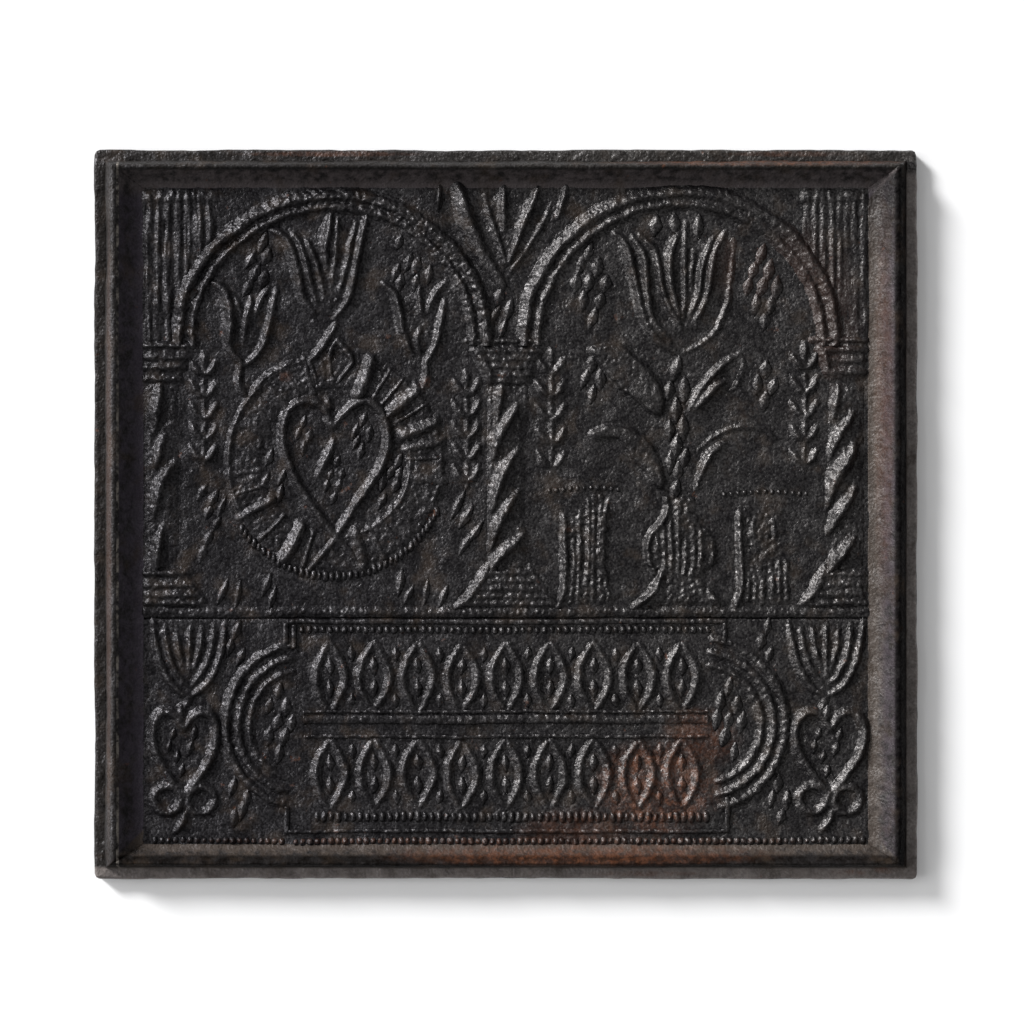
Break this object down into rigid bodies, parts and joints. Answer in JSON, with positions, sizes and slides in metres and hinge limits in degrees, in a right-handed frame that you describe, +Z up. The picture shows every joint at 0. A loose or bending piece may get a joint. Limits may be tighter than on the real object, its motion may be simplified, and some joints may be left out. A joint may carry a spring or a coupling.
{
  "type": "fireback",
  "caption": "Cast-iron fireback: a flat plate with a moulded rim and a relief of two arches on columns, tulips, hearts, a vase and a framed tablet.",
  "frame": {"origin": "on the floor, under the middle of the plate's width and of its depth", "axes": "+Z up, +X to the right of someone who looks at the carved face, and the carved face looks to -Y"},
  "size_m": [0.7, 0.026, 0.62],
  "materials": {
    "cast_plate": "sand-cast ground, stove-blacked, matt to satin",
    "rim_iron": "sand-cast moulding, stove-blacked, rubbed bright on the crest, a little rust",
    "order_iron": "sand-cast relief, stove-blacked, rubbed on its ridges",
    "tablet_iron": "sand-cast relief, stove-blacked with a brown bloom",
    "carved_iron": "sand-cast relief, stove-blacked, rubbed bright on its ridges"
  },
  "bodies": {
    "root": {"back_plate": "cast_plate", "rim_left": "rim_iron", "rim_right": "rim_iron", "rim_top": "rim_iron", "rim_bottom": "rim_iron", "string_course": "order_iron", "column_left": "order_iron", "column_centre": "order_iron", "column_right": "order_iron", "capital_left": "order_iron", "capital_centre": "order_iron", "capital_right": "order_iron", "base_left": "order_iron", "base_centre": "order_iron", "base_right": "order_iron", "arch_left": "order_iron", "arch_right": "order_iron", "reeds_left": "order_iron", "reeds_right": "order_iron", "tulip_left": "carved_iron", "bud_outer": "carved_iron", "bud_inner": "carved_iron", "crown_link": "carved_iron", "wreath_ring": "carved_iron", "wreath_leaves": "carved_iron", "wreath_beads": "carved_iron", "heart_large": "carved_iron", "lozenges_left": "carved_iron", "spray_left": "carved_iron", "tulip_centre": "carved_iron", "tulip_right": "carved_iron", "lozenges_right": "carved_iron", "stalk_right": "carved_iron", "vase_leaves": "carved_iron", "vase": "carved_iron", "pedestal_left": "carved_iron", "pedestal_right": "carved_iron", "altar_beads": "carved_iron", "spray_right": "carved_iron", "tablet_frame": "tablet_iron", "tablet_beads": "tablet_iron", "fill_upper": "tablet_iron", "fill_lower": "tablet_iron", "foot_beads": "tablet_iron", "scroll_left": "tablet_iron", "scroll_right": "tablet_iron", "tulip_low_left": "carved_iron", "tulip_low_right": "carved_iron", "heart_low_left": "carved_iron", "heart_low_right": "carved_iron", "lozenges_low": "carved_iron"}
  },
  "joints": []
}
